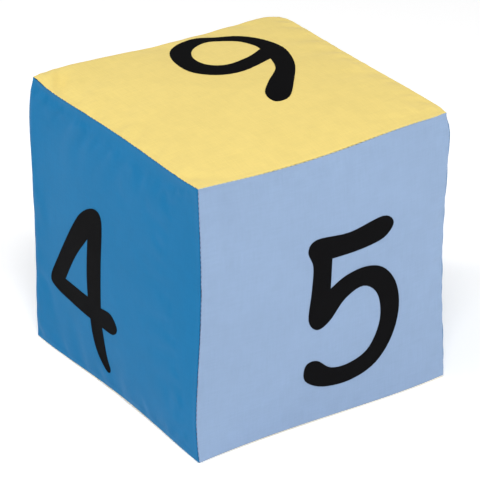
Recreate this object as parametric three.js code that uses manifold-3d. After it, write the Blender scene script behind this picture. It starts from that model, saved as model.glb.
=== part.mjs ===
// A giant soft yard die: a foam block in a sewn cover of six fabric panels, each with one large numeral.
// Millimetres, +Z up. The origin is on the ground, at the middle of the face the die stands on.
// The cover closes with a zip along one upright edge. Its slider runs along the edge and its pull swings.
import * as THREE from "three";
import { mergeVertices } from "three/addons/utils/BufferGeometryUtils.js";
import Module from "manifold-3d";

const wasm = await Module();
wasm.setup();

// ---------------------------------------------------------------- driving dimensions

const EDGE = 200; // from sewn corner to sewn corner
const HALF = EDGE / 2;
const CROWN = 4; // how far the middle of a face stands proud of its four corners
const SEAM_DRAW = 3.5; // how far the middle of a seam is drawn in between its two corners
const ROLL_START = 0.5; // a face starts to fall towards a seam at this share of the half edge
const FABRIC = 1; // a panel with its lining
const SEAM_ALLOWANCE = 7; // cloth turned in behind each seam
const SEAM_GAP = 0.7; // each panel stops this far short of its neighbour's plane
const CELLS = 12; // grid cells across a panel

const FILM = 0.3; // numeral film
const FILM_CLEARANCE = 0.3; // round and under the film, in the pocket pressed into the panel

const FOAM_INSET = 2.3; // from a panel's outside to the foam
const FOAM_REACH = 0.865; // a foam face reaches this share of the panel's half width
const FOAM_REACH_AT_ZIP = 0.8; // and less beside the zip, whose slider needs the room
const FOAM_CELLS = 6;

const THREAD = 0.4; // diameter of the seam thread
const THREAD_DEPTH = 0.35; // the seam thread lies this far in from both faces
const THREAD_END = 0.97; // and stops at this share of the half edge, clear of the corners
const ZIP_SEAM_FROM = 0.91; // the zip edge is sewn from this share of the half edge to THREAD_END
const STITCH_FROM_LIP = 2; // row of stitches that holds a tape under its panel
const STITCH_LIFT = 0.75; // over the panel

const OPENING_LOW = 12; // the zip opening, from the ground
const OPENING_HIGH = 188;
const OPENING_HALF = 5; // half the width of the gap between the two panel lips
const OPENING_DEPTH = 30; // the cut that frees the lips reaches this far in

const TAPE = 0.5;
const TAPE_DEPTH = 7.8; // the chain and the flat of the tapes lie this far in from the sharp edge
const TAPE_BEND = 4.8; // out to here a tape lies flat, and then it follows its panel
const TAPE_TAIL = 6.4;
const TAPE_END = 2; // a tape runs past the opening by this much at each end
const CHAIN_WIDTH = 2;
const CHAIN_THICK = 2;
const CHAIN_GAP = 0.15; // from the middle of the chain to each half
const CHAIN_LOW = 22.8;
const CHAIN_HIGH = 182.7;
const CHAIN_PART = 1; // each half moves this far aside to pass the slider's post
const PARTING_LENGTH = 5; // over this much height inside the slider
const TAPE_GAP = 0.3; // between a chain half and its tape
const STOP_HALF = 3.2; // a top stop reaches this far from the middle of the chain
const STOP_FROM = 1;
const STOP_DEPTH = 2.4;
const STOP_LENGTH = 3;
const STOP_GAP = 0.4; // between the chain's end and its stops
const BOTTOM_STOP_LENGTH = 4;

const SLIDER_LOW = 172.5;
const SLIDER_HIGH = 182.5;
const SLIDER_HALF = 4.35;
const SLIDER_PLATE = 1;
const SLIDER_ROOM = 1.35; // from the middle of the chain to each plate
const SLIDER_FLANGE = 0.8;
const SLIDER_SLIT = 0.65; // half the slit that the tape runs through
const SLIDER_CORNER = 1.2; // radius of a plate's corners, and how far the flanges stop from its ends
const POST_HALF = 0.7;
const POST_FROM = 6; // the post starts this far above the slider's lower end
const POST_SHORT = 0.2;
const BRIDGE_HALF = 1;
const PIVOT_Z = 178.6; // the pull swings about this height
const PIVOT_DEPTH = 4.5;
const PULL_LOW = 163;
const PULL_HALF = 2.9;
const PULL_THICK = 1;
const PULL_CORNER = 1;
const EYE_HALF = 1.6;
const EYE_LOW = 4.4; // the lower end of the tab's eye, below the pivot
const OVERLAP = 0.05; // joined parts of the slider reach this far into each other

const COLOURS = {
  yellow: 0xf3df8a,
  blue: 0x2a7db8,
  lightBlue: 0xa0b8de,
  black: 0x1c1c20,
  foam: 0xece6d2,
  thread: 0x2c3a55,
  tape: 0x2b6da0,
  metal: 0xb9bcc0,
};

// ---------------------------------------------------------------- faces

// right, up and normal are as a person sees the face from outside. zipSide is the side, along right,
// that the zip runs beside. turn is the angle that the numeral is turned by on its panel.
const axis = (x, y, z) => new THREE.Vector3(x, y, z);
const FACES = [
  { name: "one", normal: axis(0, 0, -1), right: axis(1, 0, 0), colour: "yellow", crown: 0 },
  { name: "two", normal: axis(0, 1, 0), right: axis(-1, 0, 0), colour: "lightBlue", zipSide: -1 },
  { name: "three", normal: axis(1, 0, 0), right: axis(0, 1, 0), colour: "blue", zipSide: 1 },
  { name: "four", normal: axis(-1, 0, 0), right: axis(0, -1, 0), colour: "blue" },
  { name: "five", normal: axis(0, -1, 0), right: axis(1, 0, 0), colour: "lightBlue" },
  { name: "six", normal: axis(0, 0, 1), right: axis(1, 0, 0), colour: "yellow", turn: Math.PI },
];
for (const face of FACES) face.up = face.normal.clone().cross(face.right);

// Numeral outlines in millimetres from the middle of the panel. Each stretch is a smooth curve through its
// points, and the numeral has a corner where one stretch ends and the next one starts.
const NUMERALS = {
  one: {
    outline: [
      [[-5, 33], [-14, 25], [-24, 20], [-31, 23], [-31, 30], [-16, 42], [-5, 55], [4, 58], [11, 52],
        [11, 40], [10, 0], [11, -46], [9, -57], [2, -61], [-4, -57], [-5, -46], [-6, 0], [-5, 33]],
    ],
  },
  two: {
    outline: [
      [[-8, -41], [12, -40], [32, -39], [39, -45], [37, -53], [28, -56], [0, -57], [-28, -57], [-37, -53],
        [-35, -44], [-24, -30], [-4, -7], [11, 13], [15, 27], [11, 40], [-1, 45], [-13, 41], [-20, 28],
        [-27, 20], [-34, 25], [-32, 40], [-20, 54], [-2, 61], [16, 57], [29, 44], [31, 26], [24, 8], [8, -16],
        [-8, -41]],
    ],
  },
  three: {
    outline: [
      [[18, 6], [31, -6], [36, -24], [31, -43], [16, -57], [-4, -61], [-24, -56], [-36, -47], [-36, -38],
        [-28, -34], [-14, -41], [0, -45], [12, -42], [20, -31], [20, -18], [11, -6], [-2, -1], [-10, 4],
        [-8, 11], [3, 15], [13, 24], [15, 35], [9, 44], [-2, 46], [-14, 41], [-24, 34], [-32, 40], [-27, 48],
        [-12, 57], [4, 61], [20, 57], [30, 44], [30, 28], [18, 6]],
    ],
  },
  four: {
    outline: [
      [[-28, -51], [-52, -50], [-73, -48], [-80, -42], [-70, -23], [-47, 13], [-34, 28], [-19, 36],
        [-10, 30], [-11, 0], [-13, -36]],
      [[-13, -36], [0, -35], [7, -43], [1, -50], [-13, -51]],
      [[-13, -51], [-10, -72], [-7, -82], [-11, -85], [-21, -75], [-26, -63], [-28, -51]],
    ],
    hole: [
      [[-28, 10], [-30, -17], [-30, -35]],
      [[-30, -35], [-60, -35]],
      [[-60, -35], [-45, -11], [-28, 10]],
    ],
  },
  five: {
    outline: [
      [[1, 1], [13, 7], [29, 9], [44, 4], [55, -10], [59, -30], [54, -52], [41, -68], [21, -75], [-2, -73],
        [-17, -64], [-17, -52], [-8, -51], [4, -60], [20, -61], [35, -54], [43, -35], [40, -15], [28, -5],
        [13, -10], [1, -23], [-9, -27], [-16, -18], [-14, 3], [-13, 21], [-17, 33], [-10, 40], [16, 38],
        [43, 42], [52, 35], [44, 26], [24, 23], [2, 23]],
      [[2, 23], [1, 1]],
    ],
  },
  six: {
    outline: [
      [[-46, -32], [-39, -16], [-22, 0], [-10, 14], [-9, 27], [-21, 26], [-38, 7], [-56, -18], [-65, -45],
        [-59, -69], [-40, -85], [-21, -92], [-1, -86], [10, -68], [12, -44], [0, -28], [-19, -24],
        [-46, -32]],
    ],
    hole: [
      [[-50, -50], [-34, -42], [-15, -39], [-4, -47], [-3, -62], [-12, -76], [-28, -81], [-44, -71],
        [-50, -58], [-50, -50]],
    ],
  },
};

// ---------------------------------------------------------------- mesh helpers

function geometryFrom(triangles) {
  const geometry = new THREE.BufferGeometry();
  const positions = new Float32Array(triangles.flat().flatMap((point) => point.toArray()));
  geometry.setAttribute("position", new THREE.BufferAttribute(positions, 3));
  return geometry;
}

function solidFrom(geometry) {
  const bare = new THREE.BufferGeometry();
  const flat = geometry.index ? geometry.toNonIndexed() : geometry;
  bare.setAttribute("position", flat.getAttribute("position"));
  const merged = mergeVertices(bare, 1e-4);
  return new wasm.Manifold(
    new wasm.Mesh({
      numProp: 3,
      vertProperties: new Float32Array(merged.attributes.position.array),
      triVerts: new Uint32Array(merged.index.array),
    }),
  );
}

function geometryOf(solid) {
  const mesh = solid.getMesh();
  const geometry = new THREE.BufferGeometry();
  geometry.setAttribute("position", new THREE.BufferAttribute(new Float32Array(mesh.vertProperties), 3));
  geometry.setIndex(new THREE.BufferAttribute(new Uint32Array(mesh.triVerts), 1));
  const faceted = geometry.toNonIndexed();
  faceted.computeVertexNormals();
  return faceted;
}

// A closed solid through sections of equal point count. place(point, i) puts a point of section i in space.
function loft(sections, place) {
  const rings = sections.map((section, i) => section.map((point) => place(point, i)));
  const count = rings[0].length;
  const triangles = [];
  for (let i = 1; i < rings.length; i++) {
    for (let j = 0; j < count; j++) {
      const k = (j + 1) % count;
      triangles.push([rings[i - 1][j], rings[i - 1][k], rings[i][k]]);
      triangles.push([rings[i - 1][j], rings[i][k], rings[i][j]]);
    }
  }
  const last = rings.length - 1;
  for (const [a, b, c] of THREE.ShapeUtils.triangulateShape(sections[0], []))
    triangles.push([rings[0][c], rings[0][b], rings[0][a]]);
  for (const [a, b, c] of THREE.ShapeUtils.triangulateShape(sections[last], []))
    triangles.push([rings[last][a], rings[last][b], rings[last][c]]);
  return geometryFrom(triangles);
}

function stations(count) {
  return Array.from({ length: count + 1 }, (_, i) => (2 * i) / count - 1);
}

// The points of a square grid over a face, row by row from its lower left, and its border in order round.
function gridTriangles(point, count, facesOut) {
  const at = stations(count);
  const triangles = [];
  for (let i = 0; i < count; i++) {
    for (let j = 0; j < count; j++) {
      const corners = [
        point(at[i], at[j]),
        point(at[i + 1], at[j]),
        point(at[i + 1], at[j + 1]),
        point(at[i], at[j + 1]),
      ];
      const [a, b, c, d] = facesOut ? corners : corners.reverse();
      // The split runs along the same diagonal whichever way the grid faces.
      if (facesOut) triangles.push([a, b, c], [a, c, d]);
      else triangles.push([a, b, d], [b, c, d]);
    }
  }
  return triangles;
}

function borderRing(point, count) {
  const at = stations(count);
  const ring = [];
  for (let i = 0; i < count; i++) ring.push(point(at[i], -1));
  for (let i = 0; i < count; i++) ring.push(point(1, at[i]));
  for (let i = count; i > 0; i--) ring.push(point(at[i], 1));
  for (let i = count; i > 0; i--) ring.push(point(-1, at[i]));
  return ring;
}

function wallTriangles(rings) {
  const triangles = [];
  for (let r = 1; r < rings.length; r++) {
    const outer = rings[r - 1];
    const inner = rings[r];
    for (let i = 0; i < outer.length; i++) {
      const next = (i + 1) % outer.length;
      triangles.push([outer[i], inner[i], inner[next]], [outer[i], inner[next], outer[next]]);
    }
  }
  return triangles;
}

// ---------------------------------------------------------------- the shape of the die

const centre = axis(0, 0, HALF);

function inFace(face, x, y, n) {
  return centre
    .clone()
    .addScaledVector(face.right, x)
    .addScaledVector(face.up, y)
    .addScaledVector(face.normal, n);
}

const roll = (share) => Math.max(0, (Math.abs(share) - ROLL_START) / (1 - ROLL_START)) ** 3;
const drawnIn = (pull, along) => pull * (1 - along * along);

// The zip tape holds its edge straight, and every other seam is drawn in between its corners.
const pullBeside = (face, u) => (face.zipSide && Math.sign(u) === face.zipSide ? 0 : SEAM_DRAW);

// A point on the outside of a panel, for u and v from -1 to 1, as distances along right, up and normal.
function onPanel(face, u, v) {
  const crown = face.crown ?? CROWN;
  const sideways = drawnIn(pullBeside(face, u), v);
  const upwards = drawnIn(SEAM_DRAW, u);
  return {
    x: u * (HALF - SEAM_GAP - sideways),
    y: v * (HALF - SEAM_GAP - upwards),
    n: HALF + crown * (1 - u * u) * (1 - v * v) - sideways * roll(u) - upwards * roll(v),
  };
}

function panelSolid(face) {
  const outside = (u, v) => {
    const p = onPanel(face, u, v);
    return inFace(face, p.x, p.y, p.n);
  };
  const shrink = 1 - (FABRIC * (1 + Math.SQRT2)) / HALF;
  const inside = (u, v) => {
    const p = onPanel(face, u, v);
    return inFace(face, p.x * shrink, p.y * shrink, p.n - FABRIC);
  };
  // The turned-in cloth lies along the plane between two faces, which runs through the cube's centre.
  const turned = 1 - SEAM_ALLOWANCE / Math.SQRT2 / HALF;
  const towardsCentre = (point) => point.clone().sub(centre).multiplyScalar(turned).add(centre);
  const outerRing = borderRing(outside, CELLS);
  const innerRing = borderRing(inside, CELLS);
  const rings = [outerRing, outerRing.map(towardsCentre), innerRing.map(towardsCentre), innerRing];
  return solidFrom(
    geometryFrom([
      ...gridTriangles(outside, CELLS, true),
      ...wallTriangles(rings),
      ...gridTriangles(inside, CELLS, false),
    ]),
  );
}

// A sheet that follows the panel's outside between two depths below it.
function skinSolid(face, high, low) {
  const sheet = (depth) => (u, v) => {
    const p = onPanel(face, u, v);
    return inFace(face, p.x, p.y, p.n - depth);
  };
  return solidFrom(
    geometryFrom([
      ...gridTriangles(sheet(high), CELLS, true),
      ...wallTriangles([borderRing(sheet(high), CELLS), borderRing(sheet(low), CELLS)]),
      ...gridTriangles(sheet(low), CELLS, false),
    ]),
  );
}

// ---------------------------------------------------------------- numerals

const CURVE_STEPS = 4; // outline points per given point

function smoothLoop(stretches) {
  const loop = [];
  for (const stretch of stretches) {
    const curve = new THREE.SplineCurve(stretch.map(([x, y]) => new THREE.Vector2(x, y)));
    loop.push(...curve.getPoints(CURVE_STEPS * (stretch.length - 1)).slice(0, -1));
  }
  return loop;
}

// Moves each side of a loop away from the ink by the given distance, with mitred corners.
function widened(loop, distance, isHole) {
  const counterClockwise = !THREE.ShapeUtils.isClockWise(loop);
  const side = counterClockwise !== isHole ? distance : -distance;
  const sideNormal = (from, to) => new THREE.Vector2(to.y - from.y, from.x - to.x).normalize();
  return loop.map((point, i) => {
    const before = sideNormal(loop[(i + loop.length - 1) % loop.length], point);
    const after = sideNormal(point, loop[(i + 1) % loop.length]);
    const mitre = before.clone().add(after).divideScalar(1 + before.dot(after));
    return point.clone().addScaledVector(mitre, side);
  });
}

const PRISM_REACH = 20; // a numeral's prism runs this far under and over its panel

function prismThrough(face, loop) {
  const options = { depth: 2 * PRISM_REACH, bevelEnabled: false };
  const prism = new THREE.ExtrudeGeometry(new THREE.Shape(loop), options);
  prism.rotateZ(face.turn ?? 0);
  prism.translate(0, 0, HALF - PRISM_REACH);
  prism.applyMatrix4(new THREE.Matrix4().makeBasis(face.right, face.up, face.normal));
  prism.translate(0, 0, HALF);
  return solidFrom(prism);
}

function numeralPrism(face, distance) {
  const { outline, hole } = NUMERALS[face.name];
  const whole = prismThrough(face, widened(smoothLoop(outline), distance, false));
  if (!hole) return whole;
  return whole.subtract(prismThrough(face, widened(smoothLoop(hole), distance, true)));
}

// ---------------------------------------------------------------- scene graph

const die = new THREE.Group();
// The zip's +Y points out of the zip edge, and its +X towards the face with the three.
const zip = new THREE.Group();
zip.position.set(HALF, HALF, 0);
zip.rotation.z = -Math.PI / 4;
die.add(zip);

function addPiece(group, name, geometry, colour, roughness = 0.9, metalness = 0) {
  geometry.computeVertexNormals();
  const material = new THREE.MeshStandardMaterial({ color: COLOURS[colour], roughness, metalness });
  const mesh = new THREE.Mesh(geometry, material);
  mesh.name = name;
  group.add(mesh);
}

// Foam core: six crowned faces with broad chamfers between them, clear of the turned-in seams.
function foamGeometry() {
  const outwards = (a, b, c) => {
    const normal = b.clone().sub(a).cross(c.clone().sub(a));
    const from = a.clone().add(b).add(c).divideScalar(3).sub(centre);
    return normal.dot(from) > 0 ? [a, b, c] : [a, c, b];
  };
  const onFoam = (face, u, v) => {
    const p = onPanel(face, u, v);
    const reach = face.zipSide && Math.sign(u) === face.zipSide ? FOAM_REACH_AT_ZIP : FOAM_REACH;
    return inFace(face, p.x * reach, p.y * FOAM_REACH, p.n - FOAM_INSET);
  };
  const onBorder = (face, towards, along, t) =>
    onFoam(
      face,
      face.right.dot(towards) + t * face.right.dot(along),
      face.up.dot(towards) + t * face.up.dot(along),
    );
  const triangles = FACES.flatMap((face) => gridTriangles((u, v) => onFoam(face, u, v), FOAM_CELLS, true));
  const at = stations(FOAM_CELLS);
  FACES.forEach((face, i) =>
    FACES.slice(i + 1).forEach((other) => {
      if (face.normal.dot(other.normal) !== 0) return;
      const along = face.normal.clone().cross(other.normal);
      for (let k = 0; k < FOAM_CELLS; k++) {
        const a = onBorder(face, other.normal, along, at[k]);
        const b = onBorder(face, other.normal, along, at[k + 1]);
        const c = onBorder(other, face.normal, along, at[k + 1]);
        const d = onBorder(other, face.normal, along, at[k]);
        triangles.push(outwards(a, b, c), outwards(a, c, d));
      }
    }),
  );
  for (const x of [-1, 1])
    for (const y of [-1, 1])
      for (const z of [-1, 1]) {
        const near = FACES.filter((face) => face.normal.dot(axis(x, y, z)) > 0);
        const corner = near.map((face) =>
          onFoam(face, face.right.dot(axis(x, y, z)), face.up.dot(axis(x, y, z))),
        );
        triangles.push(outwards(...corner));
      }
  return geometryFrom(triangles);
}
addPiece(die, "foam_core", foamGeometry(), "foam", 1);

// A box in the zip's own frame, from the lowest to the highest corner.
function zipBox(low, high) {
  const geometry = new THREE.BoxGeometry(high[0] - low[0], high[1] - low[1], high[2] - low[2]);
  geometry.translate((low[0] + high[0]) / 2, (low[1] + high[1]) / 2, (low[2] + high[2]) / 2);
  return geometry;
}
zip.updateMatrixWorld();
const opening = solidFrom(
  zipBox([-OPENING_HALF, -OPENING_DEPTH, OPENING_LOW], [OPENING_HALF, CROWN, OPENING_HIGH]).applyMatrix4(
    zip.matrixWorld,
  ),
);

// Cover panels and the numerals pressed into them.
for (const face of FACES) {
  const pocketSkin = skinSolid(face, -FABRIC, FILM + FILM_CLEARANCE);
  const pocket = pocketSkin.intersect(numeralPrism(face, FILM_CLEARANCE));
  const film = skinSolid(face, 0, FILM).intersect(numeralPrism(face, 0));
  const whole = panelSolid(face).subtract(pocket);
  const panel = face.zipSide ? whole.subtract(opening) : whole;
  addPiece(die, `panel_${face.name}`, geometryOf(panel), face.colour);
  addPiece(die, `numeral_${face.name}`, geometryOf(film), "black", 0.6);
}

// Seam threads, one along each sewn edge. The zip edge is sewn only above and below the opening.
const SIDES_OF_THREAD = 6;
const threadSection = Array.from({ length: SIDES_OF_THREAD }, (_, i) => {
  const angle = (i / SIDES_OF_THREAD) * 2 * Math.PI;
  return new THREE.Vector2(Math.cos(angle), Math.sin(angle)).multiplyScalar(THREAD / 2);
});

function seamThread(face, other, pull, from, to, count) {
  const out = face.normal.clone().add(other.normal).normalize();
  const along = face.normal.clone().cross(other.normal);
  const across = along.clone().cross(out);
  const sections = Array.from({ length: count + 1 }, () => threadSection);
  return loft(sections, (point, i) => {
    const t = from + ((to - from) * i) / count;
    const depth = (HALF - drawnIn(pull, t) - THREAD_DEPTH) * Math.SQRT2;
    return centre
      .clone()
      .addScaledVector(out, depth + point.x)
      .addScaledVector(across, point.y)
      .addScaledVector(along, t * (HALF - SEAM_GAP));
  });
}

FACES.forEach((face, i) =>
  FACES.slice(i + 1).forEach((other) => {
    if (face.normal.dot(other.normal) !== 0) return;
    if (!(face.zipSide && other.zipSide)) {
      const thread = seamThread(face, other, SEAM_DRAW, -THREAD_END, THREAD_END, CELLS);
      addPiece(die, `seam_${face.name}_${other.name}`, thread, "thread");
      return;
    }
    const lower = seamThread(face, other, 0, -THREAD_END, -ZIP_SEAM_FROM, 1);
    const upper = seamThread(face, other, 0, ZIP_SEAM_FROM, THREAD_END, 1);
    addPiece(die, "zip_edge_seam_lower", lower, "thread");
    addPiece(die, "zip_edge_seam_upper", upper, "thread");
  }),
);

// ---------------------------------------------------------------- zip

const SIDES = [
  { name: "left", sign: -1, face: FACES[1] },
  { name: "right", sign: 1, face: FACES[2] },
];

// How far a half of the chain, with its tape, stands aside at a height: nothing below the slider, and
// the full parting beside the slider's post.
const PARTED = SLIDER_LOW + PARTING_LENGTH;
const partingAt = (z) => CHAIN_PART * THREE.MathUtils.smoothstep(z, SLIDER_LOW, PARTED);
const partingHeights = Array.from({ length: PARTING_LENGTH + 1 }, (_, step) => SLIDER_LOW + step);
const chainHeights = [CHAIN_LOW, ...partingHeights, CHAIN_HIGH];

// A section drawn for the +X side, put on the given side of the zip at a height.
function placed(sign, point, z) {
  return axis(sign * point.x, point.y, z);
}

// A loft turned inside out by mirroring is turned back.
function turnedOut(geometry, sign) {
  if (sign > 0) return geometry;
  const position = geometry.getAttribute("position");
  for (let i = 0; i < position.count; i += 3) {
    const a = axis().fromBufferAttribute(position, i);
    const b = axis().fromBufferAttribute(position, i + 1);
    position.setXYZ(i, b.x, b.y, b.z);
    position.setXYZ(i + 1, a.x, a.y, a.z);
  }
  return geometry;
}

for (const { name, sign, face } of SIDES) {
  const chain = chainHeights.map((z) => {
    const from = CHAIN_GAP + partingAt(z);
    const to = from + CHAIN_WIDTH;
    const low = -TAPE_DEPTH - CHAIN_THICK / 2;
    const high = -TAPE_DEPTH + CHAIN_THICK / 2;
    return [[from, low], [to, low], [to, high], [from, high]].map(([x, y]) => new THREE.Vector2(x, y));
  });
  const chainPlace = (point, i) => placed(sign, point, chainHeights[i]);
  addPiece(zip, `zip_chain_${name}`, turnedOut(loft(chain, chainPlace), sign), "black", 0.5);

  const tapeHeights = [OPENING_LOW - TAPE_END, ...chainHeights, OPENING_HIGH + TAPE_END];
  const tape = tapeHeights.map((z) => {
    const edge = CHAIN_GAP + CHAIN_WIDTH + TAPE_GAP + partingAt(z);
    const tail = TAPE_BEND + TAPE_TAIL;
    const line = [[edge, 0], [TAPE_BEND, 0], [tail, -TAPE_TAIL]];
    const over = line.map(([x, y]) => new THREE.Vector2(x, y - TAPE_DEPTH + TAPE / 2));
    const under = line.map(([x, y]) => new THREE.Vector2(x, y - TAPE_DEPTH - TAPE / 2));
    return [...under, ...over.reverse()];
  });
  const tapePlace = (point, i) => placed(sign, point, tapeHeights[i]);
  addPiece(zip, `zip_tape_${name}`, turnedOut(loft(tape, tapePlace), sign), "tape");

  const stopSides = [sign * STOP_FROM, sign * STOP_HALF].sort((a, b) => a - b);
  const stopBase = CHAIN_HIGH + STOP_GAP;
  const stop = zipBox(
    [stopSides[0], -TAPE_DEPTH - STOP_DEPTH / 2, stopBase],
    [stopSides[1], -TAPE_DEPTH + STOP_DEPTH / 2, stopBase + STOP_LENGTH],
  );
  addPiece(zip, `zip_top_stop_${name}`, stop, "metal", 0.4, 1);

  // Row of stitches through the panel and the tape, along the panel's lip.
  const acrossPanel = HALF - OPENING_HALF * Math.SQRT2 - STITCH_FROM_LIP;
  const stitchSections = Array.from({ length: CELLS + 1 }, () => threadSection);
  const reach = 1 - (OPENING_LOW - TAPE_END) / HALF;
  const stitches = loft(stitchSections, (point, i) => {
    const v = reach * (1 - (2 * i) / CELLS);
    const u = (face.zipSide * acrossPanel) / (HALF - SEAM_GAP);
    const p = onPanel(face, u, v);
    return inFace(face, p.x + point.x, p.y, p.n + STITCH_LIFT + point.y);
  });
  addPiece(die, `zip_topstitch_${name}`, stitches, "thread");
}

// One stop closes the lower end of the chain.
const stopHalf = CHAIN_GAP + CHAIN_WIDTH;
const stopTop = CHAIN_LOW - STOP_GAP;
const bottomStop = zipBox(
  [-stopHalf, -TAPE_DEPTH - STOP_DEPTH / 2, stopTop - BOTTOM_STOP_LENGTH],
  [stopHalf, -TAPE_DEPTH + STOP_DEPTH / 2, stopTop],
);
addPiece(zip, "zip_bottom_stop", bottomStop, "metal", 0.4, 1);

const CURVE_SIDES = 4; // flats on each rounded corner of the small metal pieces

// A flat plate with its outline in x and z, from a depth inwards.
function plate(shape, depth, thickness) {
  const geometry = new THREE.ExtrudeGeometry(shape, {
    depth: thickness,
    bevelEnabled: false,
    curveSegments: CURVE_SIDES,
  });
  geometry.rotateX(Math.PI / 2);
  geometry.translate(0, -depth, 0);
  return solidFrom(geometry);
}

function roundedRectangle(half, low, high, radius) {
  const shape = new THREE.Shape();
  shape.absarc(half - radius, low + radius, radius, -Math.PI / 2, 0);
  shape.absarc(half - radius, high - radius, radius, 0, Math.PI / 2);
  shape.absarc(-half + radius, high - radius, radius, Math.PI / 2, Math.PI);
  shape.absarc(-half + radius, low + radius, radius, Math.PI, 1.5 * Math.PI);
  return shape;
}

// The slider is two plates joined by a post, flanges that guide the chain, and a bridge that holds the pull.
function sliderSolid() {
  const outline = roundedRectangle(SLIDER_HALF, SLIDER_LOW, SLIDER_HIGH, SLIDER_CORNER);
  const outerDepth = TAPE_DEPTH - SLIDER_ROOM - SLIDER_PLATE;
  const post = zipBox(
    [-POST_HALF, -TAPE_DEPTH - SLIDER_ROOM - OVERLAP, SLIDER_LOW + POST_FROM],
    [POST_HALF, -TAPE_DEPTH + SLIDER_ROOM + OVERLAP, SLIDER_HIGH - POST_SHORT],
  );
  let solid = plate(outline, outerDepth, SLIDER_PLATE)
    .add(plate(outline, TAPE_DEPTH + SLIDER_ROOM, SLIDER_PLATE))
    .add(solidFrom(post));
  for (const sign of [-1, 1]) {
    const across = [sign * (SLIDER_HALF - SLIDER_FLANGE), sign * SLIDER_HALF].sort((a, b) => a - b);
    for (const layer of [-1, 1]) {
      const depths = [layer * SLIDER_SLIT, layer * (SLIDER_ROOM + OVERLAP)].sort((a, b) => a - b);
      const flange = zipBox(
        [across[0], depths[0] - TAPE_DEPTH, SLIDER_LOW + SLIDER_CORNER],
        [across[1], depths[1] - TAPE_DEPTH, SLIDER_HIGH - SLIDER_CORNER],
      );
      solid = solid.add(solidFrom(flange));
    }
  }
  return solid.add(bridgeSolid(-outerDepth - OVERLAP));
}

// The bridge is an arch over the outer plate, drawn in depth and height round the pull's bar.
function bridgeSolid(foot) {
  const inner = 0.9 - PIVOT_DEPTH;
  const outer = 1.7 - PIVOT_DEPTH;
  const arch = new THREE.Shape();
  arch.moveTo(foot, PIVOT_Z - 3.4);
  arch.lineTo(inner, PIVOT_Z - 3.1);
  arch.quadraticCurveTo(outer, PIVOT_Z - 2.4, outer, PIVOT_Z);
  arch.quadraticCurveTo(outer, PIVOT_Z + 1.9, inner, PIVOT_Z + 2.1);
  arch.lineTo(foot, PIVOT_Z + 2.3);
  arch.lineTo(foot, PIVOT_Z + 0.9);
  arch.lineTo(inner, PIVOT_Z + 0.9);
  arch.lineTo(inner, PIVOT_Z - 2.2);
  arch.lineTo(foot, PIVOT_Z - 2.2);
  const bridge = new THREE.ExtrudeGeometry(arch, {
    depth: 2 * BRIDGE_HALF,
    bevelEnabled: false,
    curveSegments: CURVE_SIDES,
  });
  bridge.translate(0, 0, -BRIDGE_HALF);
  bridge.applyMatrix4(new THREE.Matrix4().makeBasis(axis(0, 1, 0), axis(0, 0, 1), axis(1, 0, 0)));
  return solidFrom(bridge);
}
addPiece(zip, "zip_slider", geometryOf(sliderSolid()), "metal", 0.35, 1);

// The pull is a flat tab whose upper bar passes through the bridge, about which it swings.
const tab = roundedRectangle(PULL_HALF, PULL_LOW, PIVOT_Z + PULL_THICK / 2, PULL_CORNER);
const eye = new THREE.Path();
eye.moveTo(-EYE_HALF, PIVOT_Z - PULL_THICK / 2);
eye.lineTo(-EYE_HALF, PIVOT_Z - EYE_LOW);
eye.lineTo(EYE_HALF, PIVOT_Z - EYE_LOW);
eye.lineTo(EYE_HALF, PIVOT_Z - PULL_THICK / 2);
eye.closePath();
tab.holes.push(eye);
addPiece(zip, "zip_pull", geometryOf(plate(tab, PIVOT_DEPTH - PULL_THICK / 2, PULL_THICK)), "metal", 0.35, 1);

export default die;
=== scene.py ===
"""A giant soft yard die: a foam block in a sewn cover of six cotton panels, each with a large black numeral.

Shape constants are in millimetres and become metres when a mesh is made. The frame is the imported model's own.
"""

import math

import bmesh
import bpy
import numpy as np
from mathutils import Matrix, Vector
from mathutils.geometry import delaunay_2d_cdt


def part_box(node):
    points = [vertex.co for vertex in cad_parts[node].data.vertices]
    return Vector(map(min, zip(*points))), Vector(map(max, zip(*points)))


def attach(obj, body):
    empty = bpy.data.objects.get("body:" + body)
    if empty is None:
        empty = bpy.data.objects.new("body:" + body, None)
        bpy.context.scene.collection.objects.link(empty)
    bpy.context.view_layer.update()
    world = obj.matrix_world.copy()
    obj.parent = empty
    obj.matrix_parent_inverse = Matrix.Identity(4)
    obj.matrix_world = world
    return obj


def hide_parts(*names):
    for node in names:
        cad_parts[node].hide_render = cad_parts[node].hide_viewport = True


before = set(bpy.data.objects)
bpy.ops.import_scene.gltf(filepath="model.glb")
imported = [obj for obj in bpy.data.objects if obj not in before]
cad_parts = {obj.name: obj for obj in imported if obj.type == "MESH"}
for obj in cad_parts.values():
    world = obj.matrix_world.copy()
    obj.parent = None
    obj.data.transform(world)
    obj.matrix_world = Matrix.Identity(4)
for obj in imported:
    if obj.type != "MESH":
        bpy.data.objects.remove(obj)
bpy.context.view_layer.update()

MM = 0.001
SEED = 11

# ---- sizes, in millimetres

SEAM_GAP = 0.7  # a CAD panel stops this far short of its neighbour's plane
HALF = round(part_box("panel_one")[1].x / MM + SEAM_GAP, 3)
EDGE = 2 * HALF
CENTRE = np.array([0.0, 0.0, HALF])

CROWN = 4.0  # how far the middle of a face stands proud of its corners
ROLL_POWER = 5  # how suddenly a face falls away towards its drawn-in seams
FLOOR_LIFT = 0.35  # the lowest panel keeps this much room for its numeral
FLOOR_LIFT_FADE = 5.0  # and comes down to its seams over this distance
SEAM_ROLL = 0.5  # radius that a panel turns into its seam with
LIP_ROLL = 0.7  # and into the hem beside the zip
SEAM_ALLOWANCE = 5.0  # what is modelled of it
CLOTH = 0.5  # thickness of a panel
CELLS = 120  # grid cells across a panel
ROLL_STEPS = 5
FLANGE_STEPS = 3

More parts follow.
